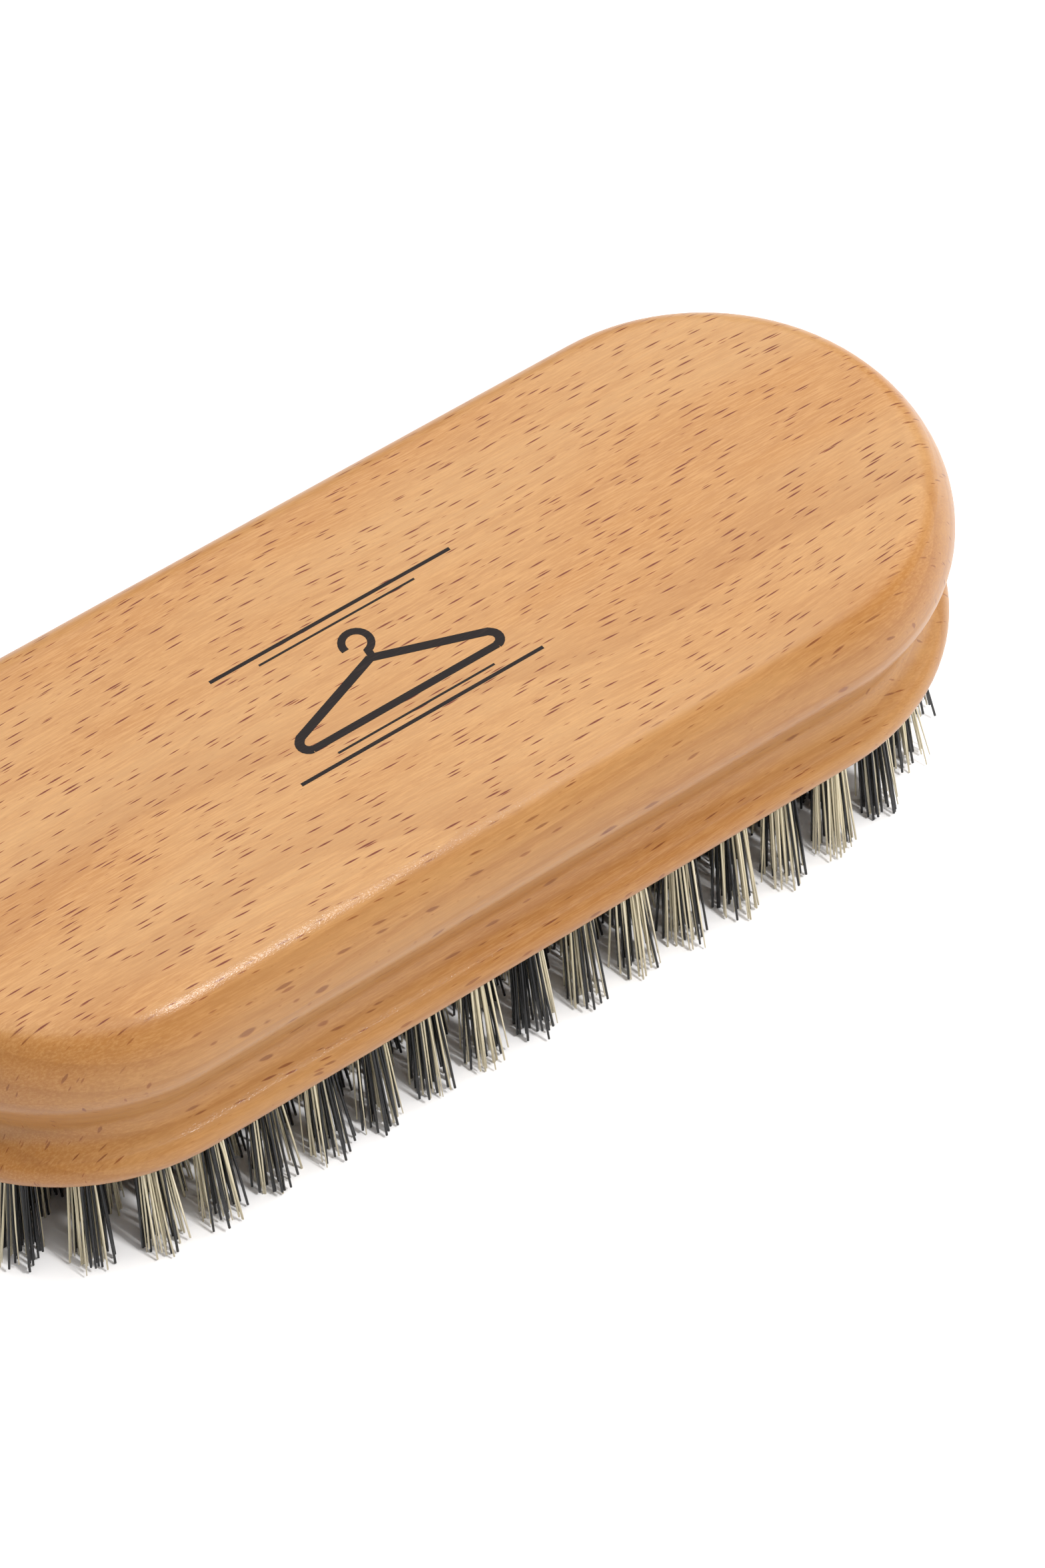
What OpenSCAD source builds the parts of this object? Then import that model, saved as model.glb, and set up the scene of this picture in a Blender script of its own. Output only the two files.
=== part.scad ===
// Clothes brush: a shaped beech block with four rings of staple-set bristle tufts.
// Units are millimetres. +Z is up, the bristle tips stand on z = 0, the long side runs along X
// and the origin is under the middle of the block.

/* [Block] */

// Overall length of the block, along X
brush_length = 152; // [120:1:200]

// Overall width of the block, along Y
brush_width = 60; // [58:0.5:70]

// Thickness of the block, from the underside to the top face
block_height = 26.8; // [25.5:0.1:30]

// Radius that rounds the edge of the top face
edge_radius = 4; // [3:0.1:5]

// Radius of the upper side, between the edge of the top face and the widest line
shoulder_radius = 12; // [10:0.1:13]

// Radius under the widest line, where the side turns into the finger groove
under_radius = 6; // [5:0.1:7]

// Radius of the round rim along the foot of the block
rim_radius = 2.8; // [2.2:0.1:3]

/* [Bristles] */

// Free length of the bristles, from the underside of the block to their tips
bristle_length = 19; // [15:0.5:25]

// Distance from the side of the block to the centres of the outer ring of tufts
tuft_margin = 6.5; // [6.5:0.1:7.5]

// Spacing of the tufts along each ring
tuft_pitch = 7.5; // [7.4:0.1:9]

// Diameter of the drilled tuft holes
hole_diameter = 4.5; // [4:0.1:4.8]

// Depth of the drilled tuft holes
hole_depth = 10; // [8:0.5:11]

// Diameter of one tuft at its tips
tuft_tip_diameter = 6.2; // [5:0.1:6.2]

// Outward lean of the outer ring of tufts, in degrees; the inner rings lean less
outer_lean = 7.5; // [5:0.5:8]

/* [Staples] */

// Width over the legs of one staple
staple_width = 3.2; // [2.8:0.1:3.4]

// Length of the staple legs
staple_leg = 5; // [4:0.5:6]

// Side of the square staple wire
staple_wire = 0.5; // [0.4:0.1:0.6]

/* [Hidden] */
$fn = 64;

// gap between a tuft or a staple and the hole around it
gap = 0.05;

// distance from the bottom of a tuft hole to the bar of its staple
staple_inset = 1.5;

half_width = brush_width / 2;
straight = brush_length - brush_width;
top_z = bristle_length + block_height;

// side profile: neighbouring arcs lap over each other by this much where they meet
lap = 0.004;
shoulder_angle = 38;
undercut_angle = 24;
rim_angle = 55;

edge_reach = shoulder_radius - edge_radius + lap;
crest_z = block_height + lap - edge_radius - edge_reach * sin(shoulder_angle);
shoulder_centre = [half_width - shoulder_radius - lap, crest_z];
edge_centre = shoulder_centre + edge_reach * unit(shoulder_angle);
under_centre = [half_width - under_radius, crest_z];
rim_centre = [half_width - rim_radius, rim_radius - lap];

// the finger groove: a slope that runs down from the arc under the widest line, and a hollow
// arc between the slope and the rim
slope_in = unit(180 - undercut_angle);
slope_up = unit(90 - undercut_angle);
between = under_centre - rim_centre
    - (rim_radius - lap) * unit(rim_angle) - (under_radius - 2 * lap) * slope_in;
groove_radius = between * slope_in / (1 + unit(rim_angle) * slope_in);
slope_length = between * slope_up - groove_radius * (unit(rim_angle) * slope_up);
groove_centre = rim_centre + (rim_radius + groove_radius - lap) * unit(rim_angle);
slope_start = groove_centre + (groove_radius - lap) * slope_in;
slope_end = slope_start + slope_length * slope_up;

function unit(a) = [cos(a), sin(a)];

// rings of tufts, from the outer ring inwards
outer_ring = half_width - tuft_margin;
ring_radius = [for (part = [7, 5, 3, 1]) outer_ring * part / 7];
ring_count = [for (r = ring_radius) round(ring_length(r) / tuft_pitch)];
ring_lean = [for (r = ring_radius) outer_lean * r / outer_ring];
ring_phase = [0.2, 0.7, 0.2, 0.7];

function ring_length(r) = 2 * straight + 2 * PI * r;
function ring_distance(ring, i) =
    (i + ring_phase[ring]) * ring_length(ring_radius[ring]) / ring_count[ring];

// side of the brush a point along a ring lies on, counted from the middle of the front
function side_at(s, r) =
    s <= straight / 2 ? "front" :
    s < straight / 2 + PI * r ? "right" :
    s <= 1.5 * straight + PI * r ? "back" :
    s < 1.5 * straight + 2 * PI * r ? "left" : "front";

// [x, y, direction outwards] of a point along a ring
function place_at(s, r) =
    side_at(s, r) == "right" ? end_place(straight / 2, r, (s - straight / 2) / r * 180 / PI - 90) :
    side_at(s, r) == "back" ? [straight + PI * r - s, r, 90] :
    side_at(s, r) == "left" ?
        end_place(-straight / 2, r, (s - 1.5 * straight - PI * r) / r * 180 / PI + 90) :
    s <= straight / 2 ? [s, -r, -90] : [s - ring_length(r), -r, -90];
function end_place(x, r, a) = [x + r * cos(a), r * sin(a), a];

function tufts_on(ring, side) = [
    for (i = [0 : ring_count[ring] - 1])
        if (side_at(ring_distance(ring, i), ring_radius[ring]) == side)
            place_at(ring_distance(ring, i), ring_radius[ring])
];

beech_block();

tufts(0, "front");  // front_outer_tufts
tufts(0, "right");  // right_outer_tufts
tufts(0, "back");  // back_outer_tufts
tufts(0, "left");  // left_outer_tufts
tufts(1, "front");  // front_second_tufts
tufts(1, "right");  // right_second_tufts
tufts(1, "back");  // back_second_tufts
tufts(1, "left");  // left_second_tufts
tufts(2, "front");  // front_third_tufts
tufts(2, "right");  // right_third_tufts
tufts(2, "back");  // back_third_tufts
tufts(2, "left");  // left_third_tufts
tufts(3, "front");  // front_inner_tufts
tufts(3, "right");  // right_inner_tufts
tufts(3, "back");  // back_inner_tufts
tufts(3, "left");  // left_inner_tufts

staples(0, "front");  // front_outer_staples
staples(0, "right");  // right_outer_staples
staples(0, "back");  // back_outer_staples
staples(0, "left");  // left_outer_staples
staples(1, "front");  // front_second_staples
staples(1, "right");  // right_second_staples
staples(1, "back");  // back_second_staples
staples(1, "left");  // left_second_staples
staples(2, "front");  // front_third_staples
staples(2, "right");  // right_third_staples
staples(2, "back");  // back_third_staples
staples(2, "left");  // left_third_staples
staples(3, "front");  // front_inner_staples
staples(3, "right");  // right_inner_staples
staples(3, "back");  // back_inner_staples
staples(3, "left");  // left_inner_staples

module disc(centre, r) translate(centre) circle(r = r);

// right half of the cross-section before it is cut to height, with the middle of the block
module side_outline() {
    difference() {
        union() {
            polygon([[-1, -1], [rim_centre[0], -1], rim_centre, groove_centre, slope_start,
                slope_end, under_centre, edge_centre, [edge_centre[0], block_height + 1], [-1, block_height + 1]]);
            disc(rim_centre, rim_radius);
            disc(under_centre, under_radius);
            disc(edge_centre, edge_radius);
            intersection() {
                disc(shoulder_centre, shoulder_radius);
                translate([0, crest_z])
                square([brush_width, shoulder_radius * sin(shoulder_angle)]);
            }
        }
        disc(groove_centre, groove_radius);
    }
}

// cross-section of the block from a given x to its right side, the underside on y = 0
module section(left) {
    intersection() {
        translate([left, 0]) square([half_width + 1 - left, block_height]);
        union() {
            side_outline();
            mirror([1, 0]) side_outline();
        }
    }
}

module block_body() {
    translate([0, 0, bristle_length]) {
        translate([-straight / 2, 0, 0])
        rotate([90, 0, 90])
        linear_extrude(straight) section(-half_width - 1);
        translate([straight / 2, 0, 0])
        rotate([0, 0, -90])
        rotate_extrude(angle = 180) section(0);
        translate([-straight / 2, 0, 0])
        rotate([0, 0, 90])
        rotate_extrude(angle = 180) section(0);
    }
}

module beech_block() {
    color([0.87, 0.70, 0.52])
    difference() {
        block_body();
        for (ring = [0 : 3])
            for (side = ["front", "right", "back", "left"])
                for (p = tufts_on(ring, side))
                    at_tuft(p, ring_lean[ring]) hole();
    }
}

// stands a piece on a tuft's place, leaning outwards from the underside of the block
module at_tuft(p, lean) {
    translate([p[0], p[1], bristle_length])
    rotate([0, 0, p[2]])
    rotate([0, -lean, 0])
    rotate([0, 0, 90])
    children();
}

// blind hole for one tuft, with the two holes the staple legs cut
module hole() {
    translate([0, 0, -1]) cylinder(d = hole_diameter, h = hole_depth + 1);
    leg = staple_wire + 2 * gap;
    for (x = [-1, 1])
        translate([x * (staple_width - staple_wire) / 2 - leg / 2, -leg / 2, hole_depth - 0.5])
        cube([leg, leg, staple_leg - staple_inset + 0.5 + gap]);
}

// bristle bundle: a round root in the hole, flared to the tips and cut around its staple
module tuft() {
    root = hole_diameter / 2 - gap;
    difference() {
        union() {
            cylinder(r = root, h = hole_depth - gap);
            translate([0, 0, -bristle_length - 1])
            cylinder(
                r1 = root + (tuft_tip_diameter / 2 - root) * (bristle_length + 1) / bristle_length,
                r2 = root,
                h = bristle_length + 1
            );
        }
        staple(gap);
    }
}

module tufts(ring, side) {
    color([0.30, 0.28, 0.25])
    difference() {
        for (p = tufts_on(ring, side))
            at_tuft(p, ring_lean[ring]) tuft();
        translate([0, 0, -5])
        cube([brush_length + 20, brush_width + 20, 10], center = true);
    }
}

// square wire bent to a U: the bar crosses the bundle and the legs stand in the wood
module staple(room) {
    w = staple_wire;
    translate([0, w / 2 + room, hole_depth - staple_inset])
    rotate([90, 0, 0])
    linear_extrude(w + 2 * room) {
        translate([-staple_width / 2 - room, -room])
        square([staple_width + 2 * room, w + 2 * room]);
        for (x = [-1, 1])
            translate([x * (staple_width - w) / 2 - w / 2 - room, -room])
            square([w + 2 * room, staple_leg + room]);
    }
}

module staples(ring, side) {
    color([0.75, 0.75, 0.77])
    for (p = tufts_on(ring, side))
        at_tuft(p, ring_lean[ring]) staple(0);
}
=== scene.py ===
import math
import random

import bpy
import numpy as np
from mathutils import Matrix, Vector


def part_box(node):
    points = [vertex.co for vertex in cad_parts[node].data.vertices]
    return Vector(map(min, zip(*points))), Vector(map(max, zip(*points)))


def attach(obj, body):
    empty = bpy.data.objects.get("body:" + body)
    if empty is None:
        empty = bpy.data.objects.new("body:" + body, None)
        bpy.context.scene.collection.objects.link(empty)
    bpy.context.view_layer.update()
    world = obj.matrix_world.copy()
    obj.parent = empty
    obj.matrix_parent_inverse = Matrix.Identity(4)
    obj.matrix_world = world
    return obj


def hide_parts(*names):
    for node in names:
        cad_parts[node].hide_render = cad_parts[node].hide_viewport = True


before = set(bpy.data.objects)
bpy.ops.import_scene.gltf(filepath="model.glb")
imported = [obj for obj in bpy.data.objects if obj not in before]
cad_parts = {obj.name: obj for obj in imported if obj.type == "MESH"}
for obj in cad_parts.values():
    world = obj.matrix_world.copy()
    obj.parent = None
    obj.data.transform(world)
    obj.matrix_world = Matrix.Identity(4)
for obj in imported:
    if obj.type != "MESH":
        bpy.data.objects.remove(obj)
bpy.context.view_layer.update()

MM = 0.001
RINGS = ["outer", "second", "third", "inner"]
SIDES = ["front", "right", "back", "left"]

block_low, block_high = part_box("beech_block")
underside = block_low[2]
top = block_high[2]


# ---------------------------------------------------------------- camera

def make_camera():
    """A long lens that looks down on the brush from its front left, and cuts off its left end."""
    azimuth, elevation, roll = math.radians(35.27), math.radians(52.07), math.radians(-1.06)
    distance = 679.98 * MM
    target = Vector((13.29 * MM, -7.57 * MM, underside))
    back = Vector((
        -math.sin(azimuth) * math.cos(elevation),
        -math.cos(azimuth) * math.cos(elevation),
        math.sin(elevation),
    ))
    right = Vector((math.cos(azimuth), -math.sin(azimuth), 0))
    up = back.cross(right)
    c, s = math.cos(roll), math.sin(roll)
    x_axis = c * right + s * up
    y_axis = c * up - s * right
    data = bpy.data.cameras.new("camera")
    data.sensor_width = 36
    data.lens = 130.7
    data.clip_start = 0.01
    data.clip_end = 20
    camera = bpy.data.objects.new("camera", data)
    bpy.context.scene.collection.objects.link(camera)
    turn = Matrix((x_axis, y_axis, back)).transposed().to_4x4()
    camera.matrix_world = Matrix.Translation(target + back * distance) @ turn
    bpy.context.scene.camera = camera


make_camera()


# ---------------------------------------------------------------- node helpers

class Nodes:
    """A material's node tree, with one short call for each kind of node."""

    def __init__(self, name):
        self.material = bpy.data.materials.new(name)
        self.material.use_nodes = True
        self.tree = self.material.node_tree
        self.shader = self.tree.nodes["Principled BSDF"]

    def add(self, kind, **settings):
        node = self.tree.nodes.new(kind)
        for key, value in settings.items():
            setattr(node, key, value)
        return node

    def put(self, socket, value):
        if isinstance(value, bpy.types.NodeSocket):
            self.tree.links.new(value, socket)
        else:
            socket.default_value = value

    def place(self):
        """Object coordinates in millimetres."""
        coordinates = self.add("ShaderNodeTexCoord").outputs["Object"]
        return self.scaled(coordinates, (1000, 1000, 1000))

    def scaled(self, vector, scale, shift=(0, 0, 0), turn=(0, 0, 0)):
        node = self.add("ShaderNodeMapping")
        self.put(node.inputs["Vector"], vector)
        node.inputs["Scale"].default_value = scale
        node.inputs["Location"].default_value = shift
        node.inputs["Rotation"].default_value = turn
        return node.outputs["Vector"]

    def noise(self, vector, detail=2.0, roughness=0.5, colour=False):
        node = self.add("ShaderNodeTexNoise")
        self.put(node.inputs["Vector"], vector)
        node.inputs["Scale"].default_value = 1.0
        node.inputs["Detail"].default_value = detail
        node.inputs["Roughness"].default_value = roughness
        return node.outputs["Color" if colour else "Fac"]

    def math(self, operation, a, b=0.0, clamp=False):
        node = self.add("ShaderNodeMath", operation=operation, use_clamp=clamp)
        self.put(node.inputs[0], a)
        self.put(node.inputs[1], b)
        return node.outputs[0]

    def vector(self, operation, a, b):
        node = self.add("ShaderNodeVectorMath", operation=operation)
        self.put(node.inputs[0], a)
        self.put(node.inputs[1], b)
        return node.outputs["Vector"]

    def fit(self, value, low, high, to_low=0.0, to_high=1.0, smooth=True):
        node = self.add("ShaderNodeMapRange")
        node.interpolation_type = "SMOOTHSTEP" if smooth else "LINEAR"
        self.put(node.inputs["Value"], value)
        self.put(node.inputs["From Min"], low)
        self.put(node.inputs["From Max"], high)
        node.inputs["To Min"].default_value = to_low
        node.inputs["To Max"].default_value = to_high
        return node.outputs["Result"]

    def mix(self, factor, a, b, blend="MIX"):
        node = self.add("ShaderNodeMix", data_type="RGBA", blend_type=blend)
        self.put(node.inputs[0], factor)
        self.put(node.inputs[6], a)
        self.put(node.inputs[7], b)
        return node.outputs[2]

    def cells(self, vector, exponent, dimensions):
        """Distance to the nearest cell's middle, and two random numbers for that cell."""
        node = self.add(
            "ShaderNodeTexVoronoi", voronoi_dimensions=dimensions, distance="MINKOWSKI"
        )
        self.put(node.inputs["Vector"], vector)
        node.inputs["Scale"].default_value = 1.0
        node.inputs["Exponent"].default_value = exponent
        node.inputs["Randomness"].default_value = 1.0
        split = self.add("ShaderNodeSeparateColor")
        self.put(split.inputs[0], node.outputs["Color"])
        return node.outputs["Distance"], split.outputs[0], split.outputs[1]

    def bump(self, height, distance, strength=1.0, normal=None):
        node = self.add("ShaderNodeBump")
        node.inputs["Strength"].default_value = strength
        node.inputs["Distance"].default_value = distance
        self.put(node.inputs["Height"], height)
        if normal is not None:
            self.put(node.inputs["Normal"], normal)
        return node.outputs["Normal"]


def srgb(r, g, b):
    """Linear colour of an 8-bit sRGB one."""
    return tuple(
        c / 12.92 if c <= 0.04045 else ((c + 0.055) / 1.055) ** 2.4
        for c in (r / 255, g / 255, b / 255)
    ) + (1.0,)


# ---------------------------------------------------------------- materials

FLECK_EXPONENT = 1.5        # 1 gives a lozenge and 2 an ellipse; a ray fleck is between them
HEART = (9.0, -70.0)        # y and z of the middle of the growth rings, in millimetres
RING_SPACING = 3.1          # millimetres from one growth ring to the next


def beech():
    """Beech: fibres, rings and flecks run through the solid, all but the flecks of the flat faces."""
    n = Nodes("beech_lacquered")
    place = n.place()

    # the grain wanders a little, so everything below is read from a gently bent place
    drift = n.noise(n.scaled(place, (0.012, 0.03, 0.03)), detail=1.0, colour=True)
    drift = n.vector("SUBTRACT", drift, (0.5, 0.5, 0.5))
    drift = n.vector("MULTIPLY", drift, (0.0, 9.0, 6.0))
    bent = n.vector("ADD", place, drift)

    def flecks(cell, low, high, share, soft, shift, dimensions="3D"):
        """Pointed dashes, one in each cell; low and high are their sizes as shares of a cell."""
        distance, size, chance = n.cells(
            n.scaled(bent, tuple(1 / c for c in cell), shift=shift), FLECK_EXPONENT, dimensions
        )
        radius = n.fit(size, 0.0, 1.0, low, high, smooth=False)
        inside = n.fit(distance, n.math("MULTIPLY", radius, soft), radius, 1.0, 0.0)
        shown = n.math("LESS_THAN", chance, share)
        return n.math("MULTIPLY", inside, shown)

    # the flat faces have a pattern of their own; the other flecks are cut from the solid
    across_top = flecks((10.4, 0.88, 1.0), 0.10, 0.17, 0.95, 0.45, (2.7, 1.9, 0.0), "2D")
    big = flecks((7.4, 0.58, 4.0), 0.16, 0.24, 0.97, 0.6, (0.3, 0.7, 0.1))
    small = flecks((5.6, 0.42, 3.2), 0.14, 0.23, 0.9, 0.55, (4.1, 2.3, 5.7))
    pores = flecks((1.6, 0.16, 1.6), 0.12, 0.30, 0.5, 0.3, (9.1, 1.3, 2.9))

    # the flecks show dark on the flat faces and softer on the turned sides
    facing = n.add("ShaderNodeSeparateXYZ")
    n.put(facing.inputs[0], n.add("ShaderNodeNewGeometry").outputs["Normal"])
    flatness = n.math("ABSOLUTE", facing.outputs["Z"])
    flat_cut = n.fit(flatness, 0.5, 0.95, 0.55, 1.0)
    turned = n.fit(flatness, 0.7, 0.98, 1.0, 0.0)
    big = n.math("ADD", n.math("MULTIPLY", big, turned), n.math(
        "MULTIPLY", across_top, n.math("SUBTRACT", 1.0, turned)
    ))

    # broad patches of warmer wood, and fibres along the length
    patches = n.noise(n.scaled(bent, (0.018, 0.075, 0.06)), detail=2.0)
    patches = n.fit(patches, 0.36, 0.66)
    streaks = n.noise(n.scaled(bent, (0.035, 0.9, 0.7)), detail=3.0, roughness=0.6)
    fibres = n.noise(n.scaled(bent, (0.30, 5.0, 4.0)), detail=3.0, roughness=0.7)

    # growth rings around a heart far below the brush
    split = n.add("ShaderNodeSeparateXYZ")
    n.put(split.inputs[0], bent)
    across = n.math("SUBTRACT", split.outputs["Y"], HEART[0])
    depth = n.math("SUBTRACT", split.outputs["Z"], HEART[1])
    radius = n.math("SQRT", n.math(
        "ADD", n.math("MULTIPLY", across, across), n.math("MULTIPLY", depth, depth)
    ))
    phase = n.math("FRACT", n.math("DIVIDE", radius, RING_SPACING))
    late = n.fit(phase, 0.55, 0.96)
    cut = n.fit(phase, 0.96, 1.0, 1.0, 0.0)
    rings = n.math("MULTIPLY", late, cut)

    colour = n.mix(patches, srgb(163, 123, 79), srgb(155, 108, 59))
    colour = n.mix(n.fit(streaks, 0.35, 0.7, 0.0, 0.5), colour, srgb(148, 103, 60))
    colour = n.mix(n.fit(fibres, 0.40, 0.68, 0.0, 0.6), colour, srgb(177, 134, 86))
    colour = n.mix(n.math("MULTIPLY", rings, 0.28), colour, srgb(136, 90, 48))
    colour = n.mix(n.math("MULTIPLY", pores, 0.35), colour, srgb(122, 74, 38))
    colour = n.mix(n.math("MULTIPLY", small, flat_cut), colour, srgb(108, 48, 16))
    colour = n.mix(n.math("MULTIPLY", big, flat_cut), colour, srgb(94, 36, 10))
    # painted shade: the turned sides and edges are darkened to a deeper brown, standing in for the
    # shade that falls on them away from the overhead light
    colour = n.mix(turned, colour, (0.94, 0.87, 0.76, 1.0), "MULTIPLY")
    n.put(n.shader.inputs["Base Color"], colour)

    rough = n.fit(fibres, 0.3, 0.7, 0.38, 0.50)
    n.put(n.shader.inputs["Roughness"], rough)
    height = n.math("ADD", n.math("MULTIPLY", fibres, 0.5), n.math("MULTIPLY", pores, -0.9))
    height = n.math("SUBTRACT", height, n.math("MULTIPLY", big, 0.5))
    normal = n.bump(height, 0.012 * MM, 0.5)
    n.put(n.shader.inputs["Normal"], normal)
    grain = n.noise(n.scaled(place, (2.5, 7.0, 7.0)), detail=2.0)
    n.put(n.shader.inputs["Coat Normal"], n.bump(grain, 0.03 * MM, 0.9, normal))
    n.shader.inputs["Specular IOR Level"].default_value = 0.15
    n.shader.inputs["Coat Weight"].default_value = 0.24
    n.shader.inputs["Coat Roughness"].default_value = 0.15
    return n.material


def bristle(name, dark, light, roughness, sheen):
    """One kind of bristle: each one has its own shade, and it varies along its length."""
    n = Nodes(name)
    island = n.add("ShaderNodeNewGeometry").outputs["Random Per Island"]
    along = n.noise(n.scaled(n.place(), (0.5, 0.5, 0.16)), detail=2.0)
    shade = n.math("ADD", n.math("MULTIPLY", island, 0.7), n.math("MULTIPLY", along, 0.5))
    colour = n.mix(n.fit(shade, 0.15, 0.95, smooth=False), dark, light)
    n.put(n.shader.inputs["Base Color"], colour)
    scales = n.noise(n.scaled(n.place(), (3.0, 3.0, 22.0)), detail=1.0)
    n.put(n.shader.inputs["Roughness"], n.fit(scales, 0.3, 0.7, roughness - 0.06, roughness + 0.08))
    n.shader.inputs["Specular IOR Level"].default_value = sheen
    return n.material


def drawn_wire():
    """Bright drawn steel wire, with fine lines along it."""
    n = Nodes("staple_wire_steel")
    lines = n.noise(n.scaled(n.place(), (14.0, 14.0, 1.2)), detail=3.0)
    colour = n.mix(lines, srgb(176, 178, 182), srgb(214, 215, 218))
    n.put(n.shader.inputs["Base Color"], colour)
    n.put(n.shader.inputs["Roughness"], n.fit(lines, 0.3, 0.7, 0.24, 0.42))
    n.shader.inputs["Metallic"].default_value = 1.0
    return n.material


def printed_ink():
    """Dark brown ink, a little uneven where the fibres took less of it."""
    n = Nodes("mark_ink")
    place = n.place()
    uneven = n.noise(n.scaled(place, (0.4, 5.0, 5.0)), detail=3.0)
    colour = n.mix(n.fit(uneven, 0.45, 0.75), srgb(24, 18, 17), srgb(38, 30, 28))
    n.put(n.shader.inputs["Base Color"], colour)
    n.put(n.shader.inputs["Roughness"], n.fit(uneven, 0.3, 0.7, 0.55, 0.68))
    n.shader.inputs["Specular IOR Level"].default_value = 0.15
    return n.material


def paper_floor():
    """Matt white paper."""
    n = Nodes("floor_paper")
    soft = n.noise(n.scaled(n.place(), (0.01, 0.01, 0.01)), detail=2.0)
    n.put(n.shader.inputs["Base Color"], n.mix(soft, srgb(250, 249, 249), srgb(254, 253, 253)))
    n.shader.inputs["Roughness"].default_value = 0.9
    n.shader.inputs["Specular IOR Level"].default_value = 0.1
    return n.material


# ---------------------------------------------------------------- bristles

def loose_parts(obj):
    """The separate solids of a CAD node, each as an array of its corners."""
    mesh = obj.data
    points = np.empty(len(mesh.vertices) * 3)
    mesh.vertices.foreach_get("co", points)
    points = points.reshape(-1, 3)
    _, where = np.unique(np.round(points, 7), axis=0, return_inverse=True)
    where = where.reshape(-1)
    edges = np.empty(len(mesh.edges) * 2, dtype=int)
    mesh.edges.foreach_get("vertices", edges)
    edges = where[edges].reshape(-1, 2)
    label = np.arange(where.max() + 1)
    while True:
        low = np.minimum(label[edges[:, 0]], label[edges[:, 1]])
        new = label.copy()
        np.minimum.at(new, edges[:, 0], low)
        np.minimum.at(new, edges[:, 1], low)
        if (new == label).all():
            break
        label = new
    part = label[where]
    return [points[part == k] for k in np.unique(part)]


def tuft_lines(node):
    """For each tuft of a CAD node: the middle of its tip, and of its root at the block's underside."""
    lines = []
    for points in loose_parts(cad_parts[node]):
        low = points[points[:, 2] < points[:, 2].min() + 0.2 * MM]
        high = points[points[:, 2] > points[:, 2].max() - 0.6 * MM]
        tip = (low.min(0) + low.max(0)) / 2
        head = (high.min(0) + high.max(0)) / 2
        share = (underside - tip[2]) / (head[2] - tip[2])
        lines.append((tip, tip + (head - tip) * share, head))
    return lines


SIDES_OF_BRISTLE = 6
MOUTH_SPREAD = 1.9 * MM         # radius of a tuft inside its hole
EVEN_TURN = 2.39996             # golden angle, in radians: fills a disc evenly
WANDER = 0.3 * MM               # how far a tip is off its place
STRAY_WANDER = 0.8 * MM         # the same for a stray
STRAYS = 0.08                   # share of the bristles that are strays
BOW = 0.06 * MM                 # how far a bristle bends off its straight line
TIP_HEIGHT = 0.06 * MM          # lowest that a tip may come to the floor
PALE_RADIUS = (0.125, 0.16)     # millimetres
BLACK_RADIUS = (0.155, 0.185)   # millimetres
OUTER_TUFT = (42, 3.0 * MM)     # bristles in a tuft of the ring that is seen, and its spread
INNER_TUFT = (60, 3.5 * MM)     # the same for the rings behind it


def bristle_tube(path, radii):
    """Rings of corners along a path, one ring for each point."""
    path = np.asarray(path)
    heading = np.gradient(path, axis=0)
    heading /= np.linalg.norm(heading, axis=1, keepdims=True)
    u = np.cross(heading, (0.0, 1.0, 0.13))
    u /= np.linalg.norm(u, axis=1, keepdims=True)
    v = np.cross(heading, u)
    turn = np.linspace(0, 2 * math.pi, SIDES_OF_BRISTLE, endpoint=False)
    ring = np.cos(turn)[None, :, None] * u[:, None] + np.sin(turn)[None, :, None] * v[:, None]
    return path[:, None] + ring * np.asarray(radii)[:, None, None]


def grow_tuft(rng, tip, root, head, count, reach):
    """Bristle paths of one tuft, as (path, radii, pale); reach is the spread at the tips."""
    axis = (root - tip) / np.linalg.norm(root - tip)
    side = np.cross(axis, (0.0, 1.0, 0.0))
    side /= np.linalg.norm(side)
    other = np.cross(axis, side)
    leaning = rng.uniform(0, 2 * math.pi)
    pale_share = rng.uniform(0.38, 0.62)
    spin = rng.uniform(0, 2 * math.pi)
    length = np.linalg.norm(root - tip)
    grown = []
    for i in range(count):
        r = math.sqrt((i + 0.5) / count)
        a = spin + i * EVEN_TURN + rng.uniform(-0.25, 0.25)
        r *= rng.uniform(0.93, 1.0)
        x, y = r * math.cos(a), r * math.sin(a)
        grouped = 0.38 * (x * math.cos(leaning) + y * math.sin(leaning))
        pale = rng.random() < pale_share + grouped
        start = head + (side * x + other * y) * MOUTH_SPREAD
        start = start + axis * -rng.uniform(1.6, 2.4) * MM
        mouth = root + (side * x + other * y) * MOUTH_SPREAD
        wander = STRAY_WANDER if rng.random() < STRAYS else WANDER
        end = tip + (side * x + other * y) * reach
        end = end + side * rng.gauss(0, wander) + other * rng.gauss(0, wander)
        # the cut ends are not quite level
        short = abs(rng.gauss(0, 0.45)) if pale else abs(rng.gauss(0, 0.55)) + 0.15
        end = end + (mouth - end) * min(short * MM / length, 0.2)
        bow = side * rng.gauss(0, BOW) + other * rng.gauss(0, BOW)
        path = [start, mouth]
        for t in (0.34, 0.68):
            path.append(mouth + (end - mouth) * t + bow * (4 * t * (1 - t)))
        path.append(end)
        if pale:
            thick = rng.uniform(*PALE_RADIUS) * MM
            taper = rng.choice((0.95, 0.85, 0.55))
        else:
            thick = rng.uniform(*BLACK_RADIUS) * MM
            taper = 0.97
        radii = [thick, thick, thick, thick * (1 + taper) / 2, thick * taper]
        path[-1][2] = max(path[-1][2], TIP_HEIGHT)
        grown.append((path, radii, pale))
    return grown


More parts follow.
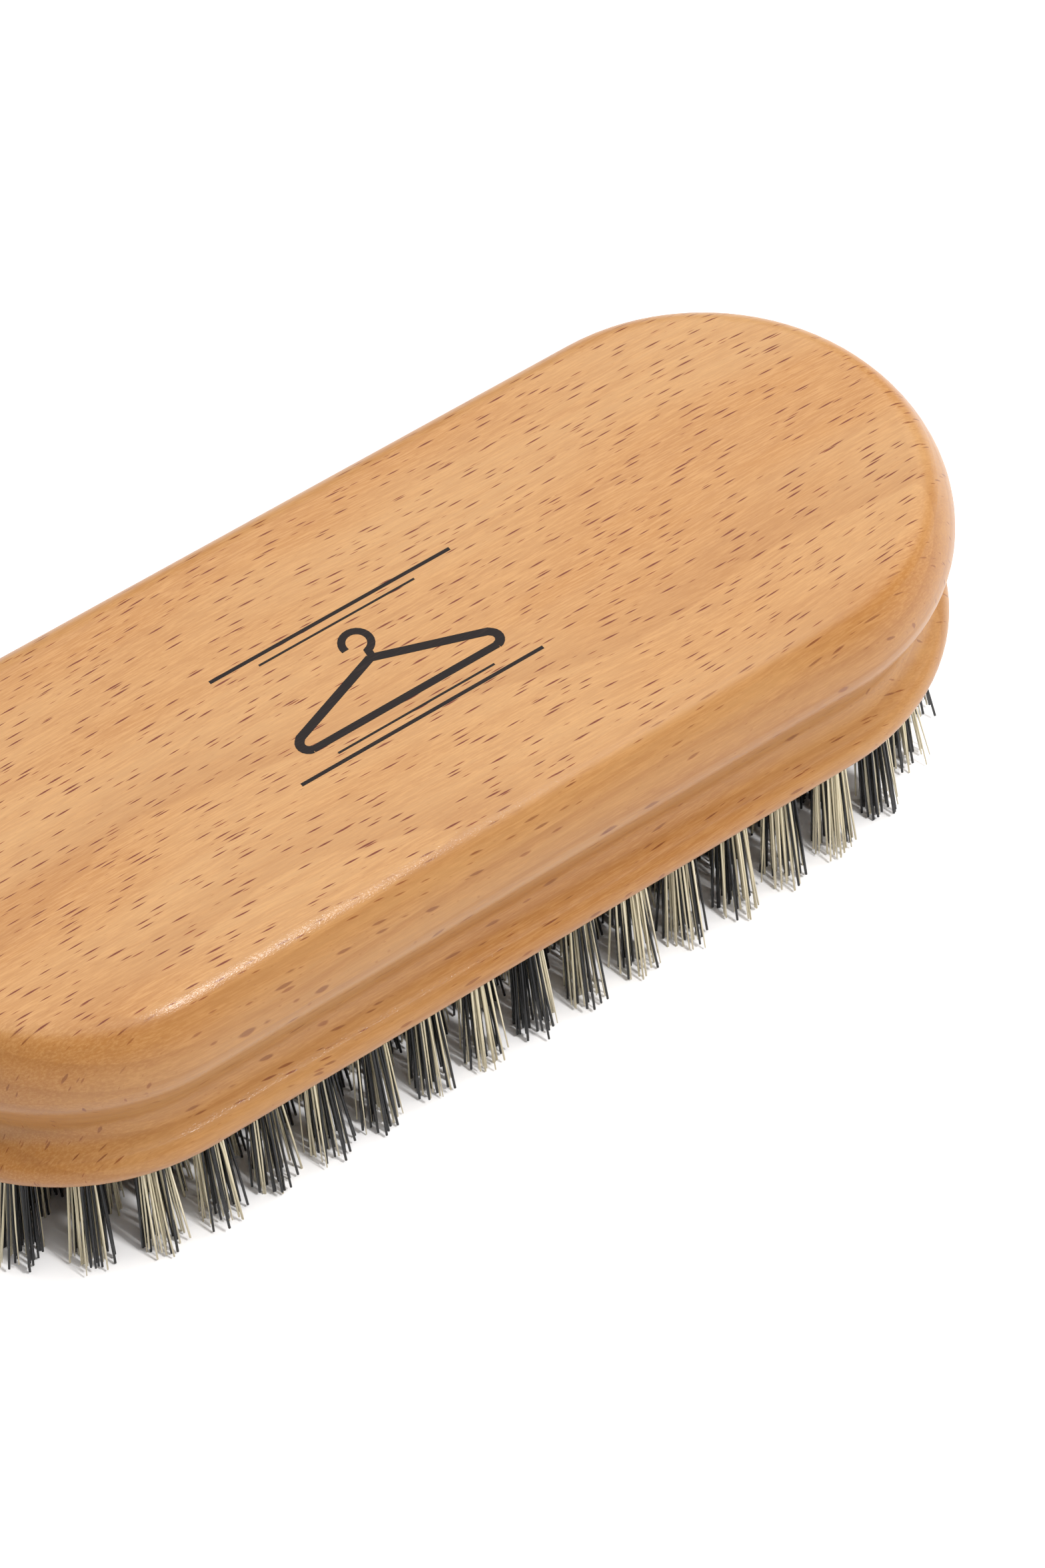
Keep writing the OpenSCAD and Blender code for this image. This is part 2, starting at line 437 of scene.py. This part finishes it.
def bristle_piece(name, node, materials, seed, count, reach):
    """All bristles of one CAD node's tufts, as one piece that stands for that node."""
    rng = random.Random(seed)
    corners, faces, slots = [], [], []
    k = SIDES_OF_BRISTLE
    base = 0
    for tip, root, head in tuft_lines(node):
        for path, radii, pale in grow_tuft(rng, tip, root, head, count, reach):
            tube = bristle_tube(path, radii)
            rows = len(path)
            corners.append(tube.reshape(-1, 3))
            for row in range(rows - 1):
                for j in range(k):
                    a, b = base + row * k + j, base + row * k + (j + 1) % k
                    faces.append((a, b, b + k, a + k))
            faces.append(tuple(base + j for j in reversed(range(k))))
            faces.append(tuple(base + (rows - 1) * k + j for j in range(k)))
            slots += [1 if pale else 0] * ((rows - 1) * k + 2)
            base += rows * k
    mesh = bpy.data.meshes.new(name)
    mesh.from_pydata(np.concatenate(corners).tolist(), [], faces)
    for material in materials:
        mesh.materials.append(material)
    mesh.polygons.foreach_set("material_index", slots)
    smooth = np.array([len(face) < k for face in faces])
    mesh.polygons.foreach_set("use_smooth", smooth)
    mesh.validate()
    obj = bpy.data.objects.new(name, mesh)
    bpy.context.scene.collection.objects.link(obj)
    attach(obj, "root")
    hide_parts(node)
    return obj


black = bristle("bristle_black", srgb(5, 6, 9), srgb(16, 18, 22), 0.38, 0.3)
pale = bristle("bristle_pale", srgb(184, 173, 142), srgb(220, 210, 182), 0.42, 0.4)
for r, ring in enumerate(RINGS):
    count, reach = OUTER_TUFT if ring == "outer" else INNER_TUFT
    for s, side in enumerate(SIDES):
        name = f"{side}_{ring}"
        bristle_piece(
            name + "_bristles", name + "_tufts", (black, pale), 100 * r + s, count, reach
        )


# ---------------------------------------------------------------- block and staples

def give(node, material):
    """Puts one material on all of a CAD node."""
    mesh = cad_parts[node].data
    for i in range(len(mesh.materials)):
        mesh.materials[i] = material
    if not len(mesh.materials):
        mesh.materials.append(material)


give("beech_block", beech())
steel = drawn_wire()
for ring in RINGS:
    for side in SIDES:
        give(f"{side}_{ring}_staples", steel)


# ---------------------------------------------------------------- printed mark

def ribbon(path, width):
    """Outline of a line of even width drawn along a path of (x, y) points."""
    path = [Vector(p) for p in path]
    sides = []
    for i, p in enumerate(path):
        before = (p - path[i - 1]).normalized() if i else None
        after = (path[i + 1] - p).normalized() if i + 1 < len(path) else None
        along = ((before or after) + (after or before)).normalized()
        out = Vector((-along.y, along.x))
        stretch = 1 / max(out.dot(Vector((-(after or before).y, (after or before).x))), 0.35)
        sides.append((p + out * width / 2 * stretch, p - out * width / 2 * stretch))
    return [a for a, _ in sides] + [b for _, b in reversed(sides)]


def arc(centre, radius, start, stop, steps):
    """Points along an arc, from one angle in degrees to another."""
    turns = [math.radians(start + (stop - start) * i / steps) for i in range(steps + 1)]
    return [(centre[0] + radius * math.cos(a), centre[1] + radius * math.sin(a)) for a in turns]


MARK_CENTRE = (-2.0, -0.5)      # millimetres from the middle of the top face


def printed_mark():
    """A coat hanger between two pairs of rules, printed on the top face; drawn in millimetres."""
    shapes = [
        ribbon([(-17.0, 9.3), (17.0, 9.3)], 0.5),
        ribbon([(-17.0, -9.3), (17.0, -9.3)], 0.5),
        ribbon([(-11.0, 8.0), (11.0, 8.0)], 0.3),
        ribbon([(-11.0, -8.0), (11.0, -8.0)], 0.3),
    ]
    hook = arc((0.0, 4.1), 1.75, 190, -75, 18) + [(0.35, 1.6), (0.0, 0.9)]
    left = [(0.0, 1.3), (-13.2, -3.6)] + arc((-12.8, -4.75), 1.1, 115, 262, 8)[1:]
    right = [(-x, y) for x, y in left]
    shapes += [
        ribbon(hook, 0.95),
        ribbon(left, 1.15),
        ribbon(right, 1.15),
        ribbon([(-13.0, -5.85), (13.0, -5.85)], 1.0),
    ]
    corners, faces = [], []
    for lift, shape in enumerate(shapes):
        k, base = len(shape), len(corners)
        # each shape is a hair higher than the one before, so that none share a surface
        high = top + (0.016 + 0.002 * lift) * MM
        for z in (top - 0.02 * MM, high):
            corners += [
                ((x + MARK_CENTRE[0]) * MM, (y + MARK_CENTRE[1]) * MM, z) for x, y in shape
            ]
        half = k // 2
        for i in range(half - 1):
            a, b, c, d = i, i + 1, k - 2 - i, k - 1 - i
            faces.append((base + a, base + b, base + c, base + d))
            faces.append((base + k + d, base + k + c, base + k + b, base + k + a))
        for i in range(k):
            j = (i + 1) % k
            faces.append((base + j, base + i, base + k + i, base + k + j))
    mesh = bpy.data.meshes.new("printed_mark")
    mesh.from_pydata(corners, [], faces)
    mesh.materials.append(printed_ink())
    mark = bpy.data.objects.new("printed_mark", mesh)
    bpy.context.scene.collection.objects.link(mark)
    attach(mark, "root")


printed_mark()


# ---------------------------------------------------------------- floor and light

def make_floor():
    """A pale sheet under the brush that runs on out of view."""
    size = 6.0
    mesh = bpy.data.meshes.new("floor")
    mesh.from_pydata(
        [(-size, -size, 0), (size, -size, 0), (size, size, 0), (-size, size, 0)], [], [(0, 1, 2, 3)]
    )
    mesh.materials.append(paper_floor())
    floor = bpy.data.objects.new("floor", mesh)
    bpy.context.scene.collection.objects.link(floor)


def area_light(name, direction, distance, width, height, power):
    """A panel that faces the brush from one direction."""
    data = bpy.data.lights.new(name, "AREA")
    data.shape = "RECTANGLE"
    data.size = width
    data.size_y = height
    data.energy = power
    light = bpy.data.objects.new(name, data)
    bpy.context.scene.collection.objects.link(light)
    away = Vector(direction).normalized()
    light.location = away * distance
    light.rotation_euler = away.to_track_quat("Z", "Y").to_euler()


make_floor()
# a small lamp draws the glints along the edges, and a broad panel overhead gives the rest
area_light("key", (0.165, -0.49, 0.78), distance=0.9, width=0.11, height=0.11, power=4.4)
area_light("ceiling", (0.33, 0.12, 1.0), distance=3.0, width=5.4, height=5.4, power=232.0)

world = bpy.data.worlds.new("studio")
bpy.context.scene.world = world
world.use_nodes = True
sky = world.node_tree.nodes["Background"]
sky.inputs["Color"].default_value = (1.0, 1.0, 1.0, 1.0)
sky.inputs["Strength"].default_value = 0.3
bpy.context.scene.view_settings.view_transform = "Standard"
